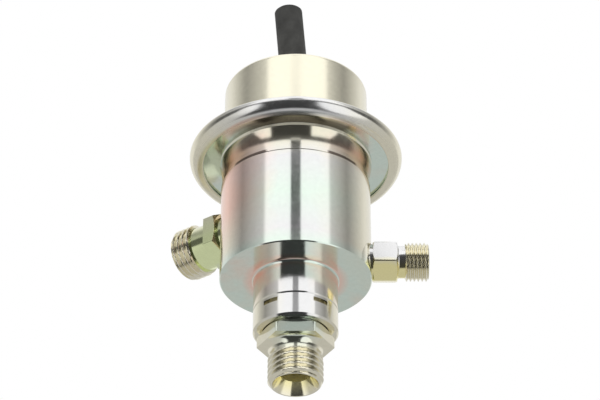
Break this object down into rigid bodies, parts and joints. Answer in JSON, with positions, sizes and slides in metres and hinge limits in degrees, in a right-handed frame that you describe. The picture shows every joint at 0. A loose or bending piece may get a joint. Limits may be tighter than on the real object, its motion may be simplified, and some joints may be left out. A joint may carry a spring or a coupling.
{
  "type": "fuel pressure regulator",
  "caption": "Diaphragm fuel pressure regulator with a drawn spring cap, rolled rim, turned body, union fittings for pipes and a short vent hose on top.",
  "frame": {"origin": "on the axis of the body, in the middle of the plain neck that a bracket clamps", "axes": "+Z along the axis towards the cap and the vent hose, +X along the fuel distributor fitting"},
  "size_m": [0.0673, 0.056, 0.1175],
  "materials": {
    "body_chromate": "bright zinc with an iridescent chromate, turned",
    "cap_chromate": "bright zinc with an iridescent chromate, drawn",
    "fitting_chromate": "zinc with a yellow iridescent chromate, turned",
    "hose_rubber": "matte",
    "seal_rubber": "smooth",
    "diaphragm_rubber": "fabric-backed",
    "plain_steel": "turned, bare",
    "spring_steel": "drawn wire, oiled",
    "bronze": "sintered",
    "washer_metal": "soft, stamped"
  },
  "bodies": {
    "regulator": {"housing": "body_chromate", "flange_ring": "body_chromate", "spring_cap": "cap_chromate", "vent_nipple": "plain_steel", "vent_hose": "hose_rubber", "diaphragm": "diaphragm_rubber", "spring_seat": "plain_steel", "control_spring": "spring_steel", "guide_bush": "bronze", "stem_seal": "seal_rubber", "seal_retainer": "plain_steel", "stop_ring": "spring_steel", "adjusting_screw": "plain_steel", "screw_o_ring": "seal_rubber", "counterspring": "spring_steel", "adjuster_sleeve": "body_chromate", "sleeve_o_ring": "seal_rubber", "sealing_washer": "washer_metal", "return_fitting": "fitting_chromate", "inlet_fitting": "fitting_chromate", "distributor_fitting": "fitting_chromate"},
    "valve": {"valve_body": "plain_steel", "valve_seal": "seal_rubber"},
    "diaphragm_centre": {"diaphragm_support": "plain_steel", "spring_cup": "plain_steel", "diaphragm_rivet": "plain_steel", "valve_ball": "plain_steel", "valve_plate": "plain_steel", "plate_clip": "spring_steel"}
  },
  "joints": [
    {"name": "valve_lift", "type": "slide", "parent": "regulator", "child": "valve", "axis": [0, 0, 1], "range_m": [0, 0.0005], "stiffness_N_per_m": 36000, "deforming": ["counterspring", "control_spring", "diaphragm"]},
    {"name": "diaphragm_lift", "type": "slide", "parent": "valve", "child": "diaphragm_centre", "axis": [0, 0, 1], "range_m": [0, 0.0007], "stiffness_N_per_m": 35000, "deforming": ["control_spring", "diaphragm"]}
  ]
}
